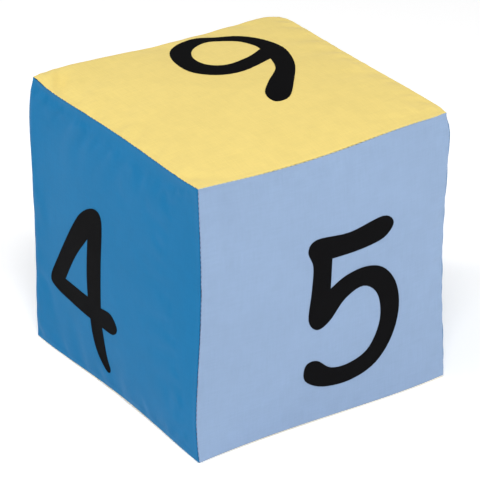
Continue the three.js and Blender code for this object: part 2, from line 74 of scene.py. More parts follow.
FILM = 0.18
FILM_LIFT = 0.04
FILM_STEP = 2.2  # spacing of the points inside a numeral
FILM_ROOM = 0.45 * FILM_STEP  # which keep this far from its outline
FILM_CREASE = 50  # degrees at which its edge is sharp
CURVE_STEPS = 5  # points along an outline from one given point to the next

STITCH_PITCH = 3.5
STITCH_LENGTH = 2.7
THREAD = 0.5
NAVY_RISE = 0.02  # how far the thread stands up out of the bottom of a seam's groove
PALE_RISE = 0.12
STITCH_SLANT = 0.16
STITCH_POINTS = 6
STITCH_TOP = 0.5 * THREAD  # the middle of a stitch stands out this far
STITCH_SINK = 0.6 * THREAD  # and its ends sink in this far
STITCH_STRAY = 0.15  # a stitch may lie this far off its place along the seam
STITCH_STRAY_ASIDE = 0.05  # and this far to one side of it
TUBE_SIDES = 6
TUBE_END = 0.55  # the radius of a tube's ends over its own

OPENING_LOW = 12.0
OPENING_HIGH = 188.0
OPENING_BLEND = 5.0  # the lips close over this much height at each end
LIP_BACK = 7.07  # from the sharp edge to a lip, along the face
TOPSTITCH_BACK = 9.2

TAPE_DEPTH = 7.8
TAPE_THICK = 0.5
TAPE_BEND = 4.8
TAPE_TAIL = 6.4
TAPE_END = 2.0
TAPE_STEP = 1.6
CHAIN_WIDTH = 2.0
CHAIN_GAP = 0.15
CHAIN_LOW = 22.8
CHAIN_HIGH = 182.7
CHAIN_PART = 1.0
COIL_PITCH = 1.35
COIL_STEPS = 12
COIL_FLATNESS = 0.9
COIL_END = 0.5  # the coil stops this far inside its half of the chain
FILAMENT = 0.62
SLIDER_LOW = 172.5
PARTING_LENGTH = 5.0

FOAM_INSET = 2.6
FOAM_ROUND = 14.0
FOAM_CELLS = 40
FOAM_SPACING = 0.8  # below 1, its grid is finer beside the edges

# ---- camera and light

LEFT_POWER = 12.0
RIGHT_POWER = 11.0
TOP_POWER = 16.0


def make_camera():
    azimuth = math.radians(-34.284)
    elevation = math.radians(27.9)
    roll = math.radians(0.381)
    distance = 10.0158 * EDGE
    aim_right = 0.0003 * EDGE
    aim_up = -0.0383 * EDGE
    level_share = math.cos(elevation)
    back = Vector((math.sin(azimuth) * level_share, -math.cos(azimuth) * level_share, math.sin(elevation)))
    level = Vector((math.cos(azimuth), math.sin(azimuth), 0))
    upright = back.cross(level)
    right = level * math.cos(roll) + upright * math.sin(roll)
    up = upright * math.cos(roll) - level * math.sin(roll)
    place = Vector(CENTRE) + back * distance + right * aim_right + up * aim_up
    data = bpy.data.cameras.new("camera")
    data.sensor_width = 36
    data.lens = 221.6
    data.clip_start = 0.05
    data.clip_end = 50
    camera = bpy.data.objects.new("camera", data)
    turn = Matrix((right, up, back)).transposed().to_4x4()
    camera.matrix_world = Matrix.Translation(place * MM) @ turn
    bpy.context.scene.collection.objects.link(camera)
    bpy.context.scene.camera = camera


def area_light(name, place, size, power):
    data = bpy.data.lights.new(name, "AREA")
    data.shape = "DISK"
    data.size = size
    data.energy = power
    lamp = bpy.data.objects.new(name, data)
    lamp.location = place
    aim = Vector((0, 0, HALF * MM)) - Vector(place)
    lamp.rotation_euler = aim.to_track_quat("-Z", "Y").to_euler()
    bpy.context.scene.collection.objects.link(lamp)


def make_studio():
    """A grey room, white where it meets the floor, with three soft lamps that rake the faces."""
    scene = bpy.context.scene
    scene.view_settings.view_transform = "Standard"
    world = bpy.data.worlds.new("studio")
    world.use_nodes = True
    tree = world.node_tree
    where = tree.nodes.new("ShaderNodeTexCoord")
    axes = tree.nodes.new("ShaderNodeSeparateXYZ")
    ramp = tree.nodes.new("ShaderNodeValToRGB")
    tree.links.new(where.outputs["Generated"], axes.inputs[0])
    tree.links.new(axes.outputs["Z"], ramp.inputs[0])
    tree.links.new(ramp.outputs[0], tree.nodes["Background"].inputs["Color"])
    stops = ramp.color_ramp.elements
    stops[0].position = 0.0
    stops[0].color = (1, 1, 1, 1)
    stops[1].position = 0.14
    stops[1].color = (0.25, 0.25, 0.25, 1)
    scene.world = world
    area_light("left", (-1.15, 0.8, 1.25), 0.5, LEFT_POWER)
    area_light("right", (1.15, -1.35, 0.95), 0.5, RIGHT_POWER)
    area_light("top", (-0.5, -0.9, 1.7), 0.6, TOP_POWER)


# ---- materials

WEAVE_PITCH = 0.62 * MM  # from one thread to the next


def linear(red, green, blue):
    """An sRGB colour of 0 to 255 as a linear one."""
    shares = [c / 255 for c in (red, green, blue)]
    return tuple(c / 12.92 if c <= 0.04045 else ((c + 0.055) / 1.055) ** 2.4 for c in shares) + (1.0,)


class Nodes:
    """Builds one material's node tree. Every method returns an output socket."""

    def __init__(self, name):
        self.material = bpy.data.materials.new(name)
        self.material.use_nodes = True
        self.tree = self.material.node_tree
        self.shader = self.tree.nodes["Principled BSDF"]

    def add(self, kind, inputs, output=0, **settings):
        node = self.tree.nodes.new(kind)
        for key, value in settings.items():
            setattr(node, key, value)
        for key, value in inputs.items():
            self.put(node.inputs[key], value)
        return node.outputs[output]

    def put(self, socket, value):
        if isinstance(value, bpy.types.NodeSocket):
            self.tree.links.new(value, socket)
        else:
            socket.default_value = value

    def math(self, operation, a, b=0.0):
        return self.add("ShaderNodeMath", {0: a, 1: b}, operation=operation)

    def place(self, uv):
        """Where a point is, in metres: along the cloth if it has a flat map, else in space."""
        if uv:
            return self.add("ShaderNodeUVMap", {}, uv_map="flat")
        return self.add("ShaderNodeTexCoord", {}, output="Object")

    def scaled(self, vector, x, y, z=1.0):
        return self.add("ShaderNodeMapping", {"Vector": vector, "Scale": (x, y, z)})

    def noise(self, vector, per_metre, detail=3.0, roughness=0.55):
        inputs = {"Vector": vector, "Scale": per_metre, "Detail": detail, "Roughness": roughness}
        return self.add("ShaderNodeTexNoise", inputs)

    def spread(self, value, low, high, from_low=0.25, from_high=0.75):
        """value, from its usual range, as a value from low to high."""
        inputs = {0: value, 1: from_low, 2: from_high, 3: low, 4: high}
        return self.add("ShaderNodeMapRange", inputs, clamp=False)

    def shade(self, colour, value):
        """colour made lighter or darker by value, about 1."""
        inputs = {"Color": colour, "Value": value, "Hue": 0.5, "Saturation": 1.0, "Fac": 1.0}
        return self.add("ShaderNodeHueSaturation", inputs)

    def mix(self, factor, a, b):
        return self.add("ShaderNodeMix", {0: factor, 6: a, 7: b}, output=2, data_type="RGBA")

    def bump(self, height, distance, strength=1.0, normal=None):
        inputs = {"Height": height, "Distance": distance, "Strength": strength}
        if normal is not None:
            inputs["Normal"] = normal
        return self.add("ShaderNodeBump", inputs)

    def finish(self, **inputs):
        for key, value in inputs.items():
            self.put(self.shader.inputs[key.replace("_", " ")], value)
        return self.material


def weave(nodes, uv):
    """Height of a plain weave with some wander in its threads, and which thread lies on top, -1 or 1."""
    wander = nodes.noise(uv, 240.0, 2.0)
    shift = nodes.spread(wander, -0.4, 0.4)
    axes = nodes.add("ShaderNodeSeparateXYZ", {0: uv}).node
    waves = []
    for index in (0, 1):
        turns = nodes.math("DIVIDE", axes.outputs[index], WEAVE_PITCH)
        shifted = nodes.math("ADD", turns, shift)
        waves.append(nodes.math("COSINE", nodes.math("MULTIPLY", shifted, math.pi)))
    crossing = nodes.math("MULTIPLY", waves[0], waves[1])
    height = nodes.math("POWER", nodes.math("ABSOLUTE", crossing), 0.6)
    return height, nodes.math("SIGN", crossing)


def cotton(name, colour, shadow):
    """Plain-woven dyed cotton: threads, slubs, a soft mottle and a faint bloom of loose fibre."""
    nodes = Nodes(name)
    uv = nodes.place(uv=True)
    height, over = weave(nodes, uv)
    slub_warp = nodes.noise(nodes.scaled(uv, 900, 60), 1.0, 2.0)
    slub_weft = nodes.noise(nodes.scaled(uv, 60, 900), 1.0, 2.0)
    slubs = nodes.math("ADD", slub_warp, slub_weft)
    mottle = nodes.noise(uv, 95.0, 4.0)
    cloud = nodes.noise(uv, 16.0, 3.0)
    value = nodes.math("MULTIPLY", nodes.spread(mottle, 0.975, 1.025), nodes.spread(cloud, 0.97, 1.03))
    value = nodes.math("MULTIPLY", value, nodes.spread(slubs, 0.972, 1.028, 0.7, 1.3))
    value = nodes.math("MULTIPLY", value, nodes.spread(over, 0.985, 1.015, -1.0, 1.0))
    # painted shade: the low places between the threads are mixed up to 0.3 of the way towards the darker shadow
    # colour
    tint = nodes.mix(nodes.spread(height, 0.3, 0.0, 0.0, 1.0), colour, shadow)
    fluff = nodes.noise(uv, 2600.0, 3.0, 0.7)
    coarse = nodes.bump(slubs, 0.00004, 0.8)
    threads = nodes.bump(height, 0.00005, 0.55, coarse)
    normal = nodes.bump(fluff, 0.00004, 0.5, threads)
    return nodes.finish(
        Base_Color=nodes.shade(tint, value),
        Roughness=nodes.spread(fluff, 0.82, 0.95),
        Specular_IOR_Level=0.08,
        Sheen_Weight=0.2,
        Sheen_Roughness=0.35,
        Normal=normal,
    )


def numeral_film():
    """Flocked black film pressed on the cloth: the weave shows through faintly, and specks of it are worn."""
    nodes = Nodes("numeral_film")
    uv = nodes.place(uv=True)
    height, _ = weave(nodes, uv)
    grain = nodes.noise(uv, 1800.0, 4.0, 0.7)
    cloud = nodes.noise(uv, 40.0, 3.0)
    black = linear(14, 14, 15)
    worn = linear(27, 26, 28)
    tint = nodes.mix(nodes.spread(grain, 0.0, 0.35, 0.35, 0.8), black, worn)
    telegraph = nodes.bump(height, 0.00005, 0.35)
    normal = nodes.bump(grain, 0.00003, 0.6, telegraph)
    return nodes.finish(
        Base_Color=nodes.shade(tint, nodes.spread(cloud, 0.85, 1.15)),
        Roughness=nodes.spread(cloud, 0.6, 0.75),
        Specular_IOR_Level=0.02,
        Normal=normal,
    )


def sewing_thread(name, colour):
    """Twisted polyester thread: fine slanting plies and a soft shine."""
    nodes = Nodes(name)
    place = nodes.place(uv=False)
    plies = nodes.add(
        "ShaderNodeTexWave",
        {"Vector": place, "Scale": 900.0, "Distortion": 1.5, "Detail": 1.0},
        output=1,
        bands_direction="DIAGONAL",
    )
    fibre = nodes.noise(place, 4000.0, 2.0)
    value = nodes.math("MULTIPLY", nodes.spread(plies, 0.85, 1.1, 0, 1), nodes.spread(fibre, 0.92, 1.08))
    return nodes.finish(
        Base_Color=nodes.shade(colour, value),
        Roughness=0.55,
        Sheen_Weight=0.2,
        Normal=nodes.bump(plies, 0.00005, 0.8),
    )


def zip_tape_cloth():
    """Herringbone-woven polyester tape."""
    nodes = Nodes("zip_tape_cloth")
    uv = nodes.place(uv=True)
    axes = nodes.add("ShaderNodeSeparateXYZ", {0: uv}).node
    zigzag = nodes.math("PINGPONG", axes.outputs[0], 1.1 * MM)
    slant = nodes.math("ADD", axes.outputs[1], zigzag)
    ribs = nodes.math("SINE", nodes.math("MULTIPLY", slant, 2 * math.pi / (0.45 * MM)))
    fibre = nodes.noise(uv, 1500.0, 3.0)
    value = nodes.math("MULTIPLY", nodes.spread(ribs, 0.9, 1.08, -1, 1), nodes.spread(fibre, 0.94, 1.06))
    return nodes.finish(
        Base_Color=nodes.shade(linear(42, 104, 160), value),
        Roughness=0.75,
        Sheen_Weight=0.2,
        Normal=nodes.bump(ribs, 0.00008, 0.8),
    )


def zip_coil_nylon():
    """Dyed nylon filament, smooth with slight drawing lines."""
    nodes = Nodes("zip_coil_nylon")
    place = nodes.place(uv=False)
    lines = nodes.noise(nodes.scaled(place, 3000, 3000, 200), 1.0, 2.0)
    return nodes.finish(
        Base_Color=nodes.shade(linear(30, 60, 96), nodes.spread(lines, 0.88, 1.12)),
        Roughness=nodes.spread(lines, 0.3, 0.42),
        Coat_Weight=0.15,
        Normal=nodes.bump(lines, 0.00002, 0.4),
    )


def zip_metal():
    """Die-cast metal with a nickel plate: fine tumbling marks and duller patches."""
    nodes = Nodes("zip_metal")
    place = nodes.place(uv=False)
    marks = nodes.noise(place, 2200.0, 4.0, 0.7)
    patches = nodes.noise(place, 260.0, 3.0)
    return nodes.finish(
        Base_Color=nodes.shade(linear(196, 198, 202), nodes.spread(patches, 0.9, 1.06)),
        Metallic=1.0,
        Roughness=nodes.spread(patches, 0.24, 0.42),
        Normal=nodes.bump(marks, 0.00002, 0.5),
    )


def foam_sponge():
    """Open-cell polyurethane foam."""
    nodes = Nodes("foam_sponge")
    place = nodes.place(uv=False)
    cells = nodes.add("ShaderNodeTexVoronoi", {"Vector": place, "Scale": 1100.0})
    cloud = nodes.noise(place, 30.0, 4.0)
    return nodes.finish(
        Base_Color=nodes.shade(linear(236, 229, 205), nodes.spread(cloud, 0.94, 1.05)),
        Roughness=0.95,
        Subsurface_Weight=0.1,
        Normal=nodes.bump(cells, 0.0004, 0.9),
    )


# ---- the shape of the die

NUMERALS = {
    "one": {
        "outline": [
            [(-5, 33), (-14, 25), (-24, 20), (-31, 23), (-31, 30), (-16, 42), (-5, 55), (4, 58), (11, 52),
             (11, 40), (10, 0), (11, -46), (9, -57), (2, -61), (-4, -57), (-5, -46), (-6, 0), (-5, 33)],
        ],
    },
    "two": {
        "outline": [
            [(-8, -41), (12, -40), (32, -39), (39, -45), (37, -53), (28, -56), (0, -57), (-28, -57),
             (-37, -53), (-35, -44), (-24, -30), (-4, -7), (11, 13), (15, 27), (11, 40), (-1, 45), (-13, 41),
             (-20, 28), (-27, 20), (-34, 25), (-32, 40), (-20, 54), (-2, 61), (16, 57), (29, 44), (31, 26),
             (24, 8), (8, -16), (-8, -41)],
        ],
    },
    "three": {
        "outline": [
            [(18, 6), (31, -6), (36, -24), (31, -43), (16, -57), (-4, -61), (-24, -56), (-36, -47),
             (-36, -38), (-28, -34), (-14, -41), (0, -45), (12, -42), (20, -31), (20, -18), (11, -6),
             (-2, -1), (-10, 4), (-8, 11), (3, 15), (13, 24), (15, 35), (9, 44), (-2, 46), (-14, 41),
             (-24, 34), (-32, 40), (-27, 48), (-12, 57), (4, 61), (20, 57), (30, 44), (30, 28), (18, 6)],
        ],
    },
    "four": {
        "outline": [
            [(-28, -51), (-52, -50), (-73, -48), (-80, -42), (-70, -23), (-47, 13), (-34, 28), (-19, 36),
             (-10, 30), (-11, 0), (-13, -36)],
            [(-13, -36), (0, -35), (7, -43), (1, -50), (-13, -51)],
            [(-13, -51), (-10, -72), (-7, -82), (-11, -85), (-21, -75), (-26, -63), (-28, -51)],
        ],
        "hole": [
            [(-28, 10), (-30, -17), (-30, -35)],
            [(-30, -35), (-60, -35)],
            [(-60, -35), (-45, -11), (-28, 10)],
        ],
    },
    "five": {
        "outline": [
            [(1, 1), (13, 7), (29, 9), (44, 4), (55, -10), (59, -30), (54, -52), (41, -68), (21, -75),
             (-2, -73), (-17, -64), (-17, -52), (-8, -51), (4, -60), (20, -61), (35, -54), (43, -35),
             (40, -15), (28, -5), (13, -10), (1, -23), (-9, -27), (-16, -18), (-14, 3), (-13, 21),
             (-17, 33), (-10, 40), (16, 38), (43, 42), (52, 35), (44, 26), (24, 23), (2, 23)],
            [(2, 23), (1, 1)],
        ],
    },
    "six": {
        "outline": [
            [(-46, -32), (-39, -16), (-22, 0), (-10, 14), (-9, 27), (-21, 26), (-38, 7), (-56, -18),
             (-65, -45), (-59, -69), (-40, -85), (-21, -92), (-1, -86), (10, -68), (12, -44), (0, -28),
             (-19, -24), (-46, -32)],
        ],
        "hole": [
            [(-50, -50), (-34, -42), (-15, -39), (-4, -47), (-3, -62), (-12, -76), (-28, -81), (-44, -71),
             (-50, -58), (-50, -50)],
        ],
    },
}


class Face:
    """One side of the die. right and up are as a person sees it from outside."""

    def __init__(self, name, normal, right, cloth, crown=CROWN, zip_side=0, turned=False):
        self.name = name
        self.normal = np.array(normal, float)
        self.right = np.array(right, float)
        self.up = np.cross(self.normal, self.right)
        self.cloth = cloth
        self.crown = crown
        self.zip_side = zip_side
        self.turned = turned


FACES = {
    face.name: face
    for face in (
        Face("one", (0, 0, -1), (1, 0, 0), "yellow", crown=-FLOOR_LIFT),
        Face("two", (0, 1, 0), (-1, 0, 0), "light_blue", zip_side=-1),
        Face("three", (1, 0, 0), (0, 1, 0), "blue", zip_side=1),
        Face("four", (-1, 0, 0), (0, -1, 0), "blue"),
        Face("five", (0, -1, 0), (1, 0, 0), "light_blue"),
        Face("six", (0, 0, 1), (1, 0, 0), "yellow", turned=True),
    )
}

# Where each sewn corner stands off the true corner of the block, by the corner's side in x, y and z.
CORNER_SHIFT = {
    (-1, 1, 1): (-1.5, 1, 1),
    (-1, -1, 1): (0, 0, 0.5),
    (1, -1, 1): (-0.5, 1, 0),
    (1, 1, 1): (0.5, -1, -1),
    (-1, 1, -1): (-2, 2, 1),
    (-1, -1, -1): (0, -1.5, 0.5),
    (1, -1, -1): (2, -0.5, 1.5),
    (1, 1, -1): (1, 1, 1),
}

# A short pull on the very tip of three corners, which fades over TIP_REACH.
TIP_REACH = 9.0
TIP_PULL = {
    (-1, 1, 1): (0.5, -1, 0),
    (1, -1, 1): (-2, 2, 0.5),
    (1, 1, 1): (-2, -2, -1),
}

# How far each seam bows at a quarter, a half and three quarters of its length, going up its axis. draw is
# into the block, and sway is towards the second face named.
SEAMS = {
    ("four", "two"): {"draw": (0, -0.5, -2)},
    ("five", "three"): {"draw": (2, 3, 1.5)},
    ("six", "two"): {"draw": (-0.5, 1, 0.5)},
    ("six", "three"): {"draw": (-0.5, 0, 0)},
    ("one", "four"): {"draw": (1.5, 2.5, 1)},
    ("one", "five"): {"draw": (1.5, 0.5, -1)},
    ("four", "five"): {"draw": (2, 2.5, 2), "sway": (-2, 0.5, 1)},
    ("six", "four"): {"draw": (1.5, 2, 1.5), "sway": (0.5, 0, 1)},
    ("six", "five"): {"draw": (2, 2.5, 2), "sway": (2, 2, -0.5)},
    ("one", "two"): {"draw": (1.5, 2.5, 2)},
    ("one", "three"): {"draw": (2, 2.5, 1)},
    ("two", "three"): {"draw": (0, 0, 0)},
}


LEVEL_DRAW = (1.18, 0.25)  # at the floor a seam is drawn in more than up


def seam_between(a, b):
    """The two faces of a seam in their order in SEAMS, with its bow."""
    for (first, second), bow in SEAMS.items():
        if {first, second} == {a.name, b.name}:
            return FACES[first], FACES[second], bow
    raise KeyError((a.name, b.name))


def bowed(depths, s):
    """A curve that is 0 at s = -1 and 1, with the given depths at s = -0.5, 0 and 0.5."""
    low, middle, high = depths
    ends = 1 - 0.5**2
    lean = (high - low) / ends
    bend = 2 * ((low + high) / ends - 2 * middle)
    return (middle + lean * s + bend * s * s) * (1 - s * s)


def seam_shift(a, b, s):
    """How far the seam between two faces is from the block's true edge, at s along the axis it runs on."""
    first, second, bow = seam_between(a, b)
    axis = np.abs(np.cross(first.normal, second.normal))
    sides = first.normal + second.normal
    ends = [CORNER_SHIFT[tuple((sides + side * axis).astype(int))] for side in (-1, 1)]
    share = (s[..., None] + 1) / 2
    shift = np.array(ends[0]) * (1 - share) + np.array(ends[1]) * share
    inward = -sides / math.sqrt(2)
    if sides[2] < 0:
        inward = np.array([-LEVEL_DRAW[0] * sides[0], -LEVEL_DRAW[0] * sides[1], LEVEL_DRAW[1]])
    across = (second.normal - first.normal) / math.sqrt(2)
    shift = shift + bowed(bow["draw"], s)[..., None] * inward
    return shift + bowed(bow.get("sway", (0, 0, 0)), s)[..., None] * across


def tip_shift(points):
    """The pull of the corner tips on points given from the middle of the block."""
    total = np.zeros_like(points)
    for corner, pull in TIP_PULL.items():
        gap = np.linalg.norm(points - np.array(corner) * HALF, axis=-1)
        total += np.exp(-((gap / TIP_REACH) ** 2))[..., None] * np.array(pull)
    return total


# ---- puckers and folds


def wander(seed, s, lengths=(61.0, 37.0, 23.0)):
    """A smooth line that wanders between about -1 and 1 along s."""
    phases = np.random.default_rng(SEED + seed).uniform(0, 2 * math.pi, len(lengths))
    waves = [np.sin(2 * math.pi * s / length + phase) for length, phase in zip(lengths, phases)]
    return sum(waves) / math.sqrt(len(lengths))


FOLD_START = 5.0  # a fold grows to its full height over this distance from a seam

# Single folds and dents: face, middle, direction in degrees, length, width and height.
FOLDS = [
    ("four", (68, 86), 10, 22, 9, -1.0),
    ("four", (52, 70), 40, 26, 7, 0.4),
    ("six", (-86, 84), 62, 22, 4.5, -2.2),
    ("six", (-92, 93), 10, 14, 7, 1.6),
    ("six", (-76, 84), 62, 22, 6, 0.8),
    ("six", (-60, 30), 35, 40, 9, -0.5),
    ("six", (-66, -34), 40, 36, 8, 0.5),
    ("six", (-88, -86), 150, 14, 4, -0.6),
    ("five", (-84, 58), 95, 38, 12, -1.0),
    ("five", (-62, 84), 15, 30, 10, 0.7),
    ("five", (84, 66), 70, 40, 9, -1.1),
    ("five", (70, 40), 70, 46, 12, 0.7),
    ("three", (-84, 80), 60, 24, 7, -0.8),
    ("two", (82, 82), 120, 24, 7, -0.8),
    ("two", (-60, -84), 20, 22, 7, 0.5),
]


def turned_axes(x, y, middle, degrees):
    angle = math.radians(degrees)
    dx = x - middle[0]
    dy = y - middle[1]
    along = dx * math.cos(angle) + dy * math.sin(angle)
    return along, dy * math.cos(angle) - dx * math.sin(angle)


def fold_height(face, x, y):
    """How far the single folds and dents raise the cloth at a place on a face, in millimetres."""
    height = np.zeros_like(x)
    for name, middle, degrees, length, width, rise in FOLDS:
        if name != face.name:
            continue
        along, across = turned_axes(x, y, middle, degrees)
        height += rise * np.exp(-((along / length) ** 2) - (across / width) ** 2)
    held = np.minimum(HALF - np.abs(x), HALF - np.abs(y))
    return height * np.clip(held / FOLD_START, 0, 1)


# ---- a face's surface

swell = {}  # per face, the simulated cloth's displacement on a grid of u and v


def between(grid, u, v):
    """A grid over u and v from -1 to 1, read with smooth interpolation."""
    count = grid.shape[0] - 1

    def weights(value):
        place = np.clip((value + 1) / 2 * count, 0, count)
        base = np.clip(np.floor(place).astype(int), 0, count - 1)
        t = place - base
        factors = [
            ((-0.5 * t + 1.0) * t - 0.5) * t,
            (1.5 * t - 2.5) * t * t + 1.0,
            ((-1.5 * t + 2.0) * t + 0.5) * t,
            (0.5 * t - 0.5) * t * t,
        ]
        return [np.clip(base + step, 0, count) for step in (-1, 0, 1, 2)], factors

    rows, row_factors = weights(u)
    columns, column_factors = weights(v)
    total = 0
    for row, row_factor in zip(rows, row_factors):
        for column, column_factor in zip(columns, column_factors):
            total = total + (row_factor * column_factor)[..., None] * grid[row, column]
    return total


def smooth_form(face, u, v):
    """The face's cloth without small puckers, from the middle of the block. u and v run from -1 to 1."""
    neighbours = {}
    for other in FACES.values():
        for axis_name, axis in (("u", face.right), ("v", face.up)):
            side = other.normal @ axis
            if side:
                neighbours[axis_name, int(side)] = other
    sign = {"u": face.right.sum(), "v": face.up.sum()}
    shift = {}
    for (axis_name, side), other in neighbours.items():
        run = v * sign["v"] if axis_name == "u" else u * sign["u"]
        shift[axis_name, side] = seam_shift(face, other, run)
    corner = {}
    for side_u in (-1, 1):
        for side_v in (-1, 1):
            sides = face.normal + side_u * face.right + side_v * face.up
            corner[side_u, side_v] = np.array(CORNER_SHIFT[tuple(sides.astype(int))])

    def blended(weight):
        weight_u = {side: weight(side * u)[..., None] for side in (-1, 1)}
        weight_v = {side: weight(side * v)[..., None] for side in (-1, 1)}
        total = sum(weight_u[side] * shift["u", side] + weight_v[side] * shift["v", side] for side in (-1, 1))
        for (side_u, side_v), value in corner.items():
            total = total - weight_u[side_u] * weight_v[side_v] * value
        return total

    spread = blended(lambda s: (1 + s) / 2)
    rolled = blended(lambda s: np.clip(s, 0, 1) ** ROLL_POWER)
    rise = face.crown * (1 - u * u) * (1 - v * v) if face.crown > 0 else face.crown * np.ones_like(u)
    inner = np.clip(np.abs(u), np.abs(v), None)
    if face.crown <= 0:
        rise = rise * np.clip((1 - inner) * HALF / FLOOR_LIFT_FADE, 0, 1)
    normal_part = rolled @ face.normal + rise
    plane_part = spread - (spread @ face.normal)[..., None] * face.normal
    points = (
        (u * HALF)[..., None] * face.right
        + (v * HALF)[..., None] * face.up
        + HALF * face.normal
        + plane_part
        + normal_part[..., None] * face.normal
    )
    return points + tip_shift(points)


def cloth_surface(face, u, v):
    """The outside of the cloth of a face, from the middle of the block, in millimetres."""
    points = smooth_form(face, u, v)
    if face.name in swell:
        points = points + between(swell[face.name], u, v)
    if face.crown > 0:
        points = points + fold_height(face, u * HALF, v * HALF)[..., None] * face.normal
    return points


def surface_normal(face, u, v):
    step = 0.004
    along_u = cloth_surface(face, u + step, v) - cloth_surface(face, u - step, v)
    along_v = cloth_surface(face, u, v + step) - cloth_surface(face, u, v - step)
    normal = np.cross(along_u, along_v)
    return normal / np.linalg.norm(normal, axis=-1, keepdims=True)


def place_on_face(face, x, y):
    """u and v of the points whose distances along right and up are x and y."""
    u = x / HALF
    v = y / HALF
    for _ in range(4):
        points = cloth_surface(face, u, v)
        u = u + (x - points @ face.right) / HALF
        v = v + (y - points @ face.up) / HALF
    return u, v


# ---- making meshes


def grid_quads(cells):
    """The quads of a square grid of points, row by row."""
    count = cells + 1
    return [
        [i * count + j, (i + 1) * count + j, (i + 1) * count + j + 1, i * count + j + 1]
        for i in range(cells)
        for j in range(cells)
    ]


def make_mesh(name, points, polygons, material, flat=None):
    """An object from points in millimetres. flat holds each point's place on the flat cloth."""
    mesh = bpy.data.meshes.new(name)
    whole = [list(map(int, polygon)) for polygon in polygons]
    mesh.from_pydata((np.asarray(points) * MM).tolist(), [], whole)
    if flat is not None:
        layer = mesh.uv_layers.new(name="flat")
        corners = np.zeros(len(mesh.loops), int)
        mesh.loops.foreach_get("vertex_index", corners)
        layer.data.foreach_set("uv", (np.asarray(flat)[corners] * MM).ravel())
    mesh.materials.append(material)
    mesh.shade_smooth()
    mesh.validate()
    piece = bpy.data.objects.new(name, mesh)
    bpy.context.scene.collection.objects.link(piece)
    return piece


def joined(parts):
    """Several (points, polygons) as one pair."""
    points = []
    polygons = []
    count = 0
    for part_points, part_polygons in parts:
        points.append(part_points)
        polygons.extend([[index + count for index in polygon] for polygon in part_polygons])
        count += len(part_points)
    return np.concatenate(points), polygons


def tube(path, radius, out):
    """A closed tube along a path, with thinner ends. One of its flats looks along out."""
    path = np.asarray(path, float)
    tangent = np.gradient(path, axis=0)
    tangent /= np.linalg.norm(tangent, axis=1, keepdims=True)
    side = np.cross(tangent, np.asarray(out, float))
    side /= np.linalg.norm(side, axis=1, keepdims=True)
    other = np.cross(side, tangent)
    angles = np.arange(TUBE_SIDES) * 2 * math.pi / TUBE_SIDES
    radii = np.full(len(path), radius)
    radii[0] = radii[-1] = radius * TUBE_END
    ring = np.cos(angles)[None, :, None] * side[:, None] + np.sin(angles)[None, :, None] * other[:, None]
    points = (path[:, None] + ring * radii[:, None, None]).reshape(-1, 3)
    polygons = []
    for i in range(len(path) - 1):
        near = i * TUBE_SIDES
        far = near + TUBE_SIDES
        for j in range(TUBE_SIDES):
            k = (j + 1) % TUBE_SIDES
            polygons.append([near + j, near + k, far + k, far + j])
    last = (len(path) - 1) * TUBE_SIDES
    polygons.append([TUBE_SIDES - 1 - j for j in range(TUBE_SIDES)])
    polygons.append([last + j for j in range(TUBE_SIDES)])
    return points, polygons


def settle(piece, body, slot, *nodes):
    """Rides a finished piece on its body, in place of CAD nodes. slot is not used."""
    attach(piece, body)
    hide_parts(*nodes)


# ---- cloth simulation

BEYOND = np.array([[1, 0], [-1, 0], [0, 1], [0, -1]])  # the four borders of a face, along right and up
SIM_CELLS = 84
SIM_FRAMES = 20
SIM_PRESSURE = 4.0
SIM_GROWTH = 0.02  # how much longer the cloth beside a seam is than the seam that holds it
SIM_REACH = 16.0
SLACK_MEAN = 0.6
SLACK_SWING = 0.4
SLACK_LEAST = 0.1
SIM_BROAD = 22.0  # bulges wider than this belong to the face's own crown
SIM_CAP = 1.6
GATHER = 2.2  # puckers are this much deeper beside a seam, and shallower away from it
GATHER_REACH = 15.0
GATHER_REST = 0.45
ZIP_CALM_REACH = 8.0  # the stitched strip beside the zip stays flat, and puckers grow over this much beyond
FLOOR_CALM = 0.85  # the floor presses the puckers flat, underneath and at the foot of each side
SIM_HELD = 0.999  # of the way from a face's middle to its seams, from where the cloth is held
SIM_NOISE = 0.03  # the cloth starts this uneven, so that it can buckle
SIM_FINE = 1.3  # ridges narrower than this are only the mesh's own
SLANTS = {  # ridges that lean as they leave a seam, where the cloth was dragged along it: by face and border
    ("four", 0, 1): 1.5,
    ("four", 1, 0): 0.5,
    ("six", -1, 0): -1.0,
    ("five", 1, 0): 0.25,
    ("three", 0, 1): 0.6,
    ("two", 1, 0): -0.4,
}
SLANT_FADE = 60.0
HELD_BY_SEAM = 4.0  # a pucker reaches its full depth over this distance from a seam
FOLLOWS = {"blue": 1.1, "light_blue": 0.6, "yellow": 0.8}  # how far the foam lets each face's cloth go


def softened(grid, radius):
    """A grid of vectors averaged over a radius in millimetres."""
    cell = EDGE / (grid.shape[0] - 1)
    reach = int(2.5 * radius / cell)
    at = np.arange(-reach, reach + 1) * cell
    weights = np.exp(-((at / radius) ** 2))
    weights /= weights.sum()
    for axis in (0, 1):
        spread = [(reach, reach) if axis == k else (0, 0) for k in range(3)]
        padded = np.pad(grid, spread, mode="edge")
        parts = [
            weight * np.take(padded, np.arange(k, k + grid.shape[axis]), axis=axis)
            for k, weight in enumerate(weights)
        ]
        grid = sum(parts)
    return grid


